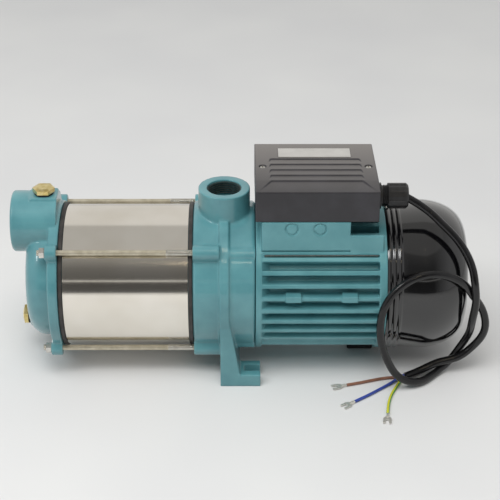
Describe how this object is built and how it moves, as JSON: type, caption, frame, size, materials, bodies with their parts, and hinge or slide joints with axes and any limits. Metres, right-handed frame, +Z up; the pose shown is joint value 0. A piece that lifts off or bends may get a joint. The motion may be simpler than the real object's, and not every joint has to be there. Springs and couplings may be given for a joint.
{
  "type": "garden pump",
  "caption": "Horizontal multistage garden pump with a stainless barrel, finned motor, fan cover, terminal box and power cable.",
  "frame": {"origin": "on the floor, at the middle of the pump's length, below the shaft", "axes": "+X along the shaft from the suction port to the fan, +Y to the rear, +Z up; the front faces -Y"},
  "size_m": [0.4746, 0.2187, 0.2096],
  "materials": {
    "teal_cast_iron": "satin teal paint",
    "teal_aluminium": "satin teal paint",
    "stainless_steel": "polished",
    "stage_steel": "pressed and welded",
    "zinc_steel": "zinc plated",
    "gasket_rubber": "moulded",
    "seal_rubber": "moulded",
    "brass": "machined",
    "stage_polymer": "moulded",
    "carbon": "ground",
    "ceramic": "lapped",
    "bearing_steel": "ground",
    "laminated_steel": "stacked sheet",
    "copper_wire": "varnished",
    "black_paint": "gloss black paint",
    "fan_polymer": "moulded",
    "box_polymer": "fine texture",
    "plate_aluminium": "bare",
    "terminal_polymer": "moulded",
    "capacitor_polymer": "smooth",
    "gland_polymer": "moulded",
    "sheath_rubber": "smooth",
    "brown_insulation": "smooth",
    "blue_insulation": "smooth",
    "earth_insulation": "green and yellow stripes"
  },
  "bodies": {
    "pump_body": {"capacitor": "capacitor_polymer", "core_blue": "blue_insulation", "core_brown": "brown_insulation", "core_earth": "earth_insulation", "diffuser_1": "stage_polymer", "diffuser_2": "stage_polymer", "diffuser_3": "stage_polymer", "diffuser_4": "stage_polymer", "discharge_casing": "teal_cast_iron", "drain_plug": "brass", "drain_seal": "seal_rubber", "fan_cover": "black_paint", "filler_plug": "brass", "filler_seal": "seal_rubber", "fork_blue": "zinc_steel", "fork_brown": "zinc_steel", "fork_earth": "zinc_steel", "front_bearing": "bearing_steel", "front_cover": "teal_cast_iron", "front_gasket": "gasket_rubber", "gland_body": "gland_polymer", "gland_locknut": "gland_polymer", "gland_nut": "gland_polymer", "gland_seal": "seal_rubber", "motor_frame": "teal_aluminium", "motor_rest": "seal_rubber", "motor_tie_bolt_1": "zinc_steel", "motor_tie_bolt_2": "zinc_steel", "motor_tie_bolt_3": "zinc_steel", "motor_tie_bolt_4": "zinc_steel", "power_cable": "sheath_rubber", "pump_shell": "stainless_steel", "rating_plate": "plate_aluminium", "rear_bearing": "bearing_steel", "rear_gasket": "gasket_rubber", "rear_shield": "teal_aluminium", "seal_seat": "ceramic", "stator_core": "laminated_steel", "stator_windings": "copper_wire", "terminal_block": "terminal_polymer", "terminal_box_base": "box_polymer", "terminal_box_lid": "box_polymer", "tie_rod_1": "zinc_steel", "tie_rod_2": "zinc_steel", "tie_rod_3": "zinc_steel", "tie_rod_4": "zinc_steel", "tie_rod_nut_1": "zinc_steel", "tie_rod_nut_2": "zinc_steel", "tie_rod_nut_3": "zinc_steel", "tie_rod_nut_4": "zinc_steel"},
    "rotor": {"shaft": "stage_steel", "impeller_1": "stage_steel", "impeller_2": "stage_steel", "impeller_3": "stage_steel", "impeller_4": "stage_steel", "impeller_nut": "stage_steel", "seal_head": "carbon", "rotor_core": "laminated_steel", "cooling_fan": "fan_polymer"}
  },
  "joints": [
    {"name": "rotor_spin", "type": "hinge", "parent": "pump_body", "child": "rotor", "pos_m": [-0.0156, 0, 0.088], "axis": [1, 0, 0], "continuous": true}
  ]
}
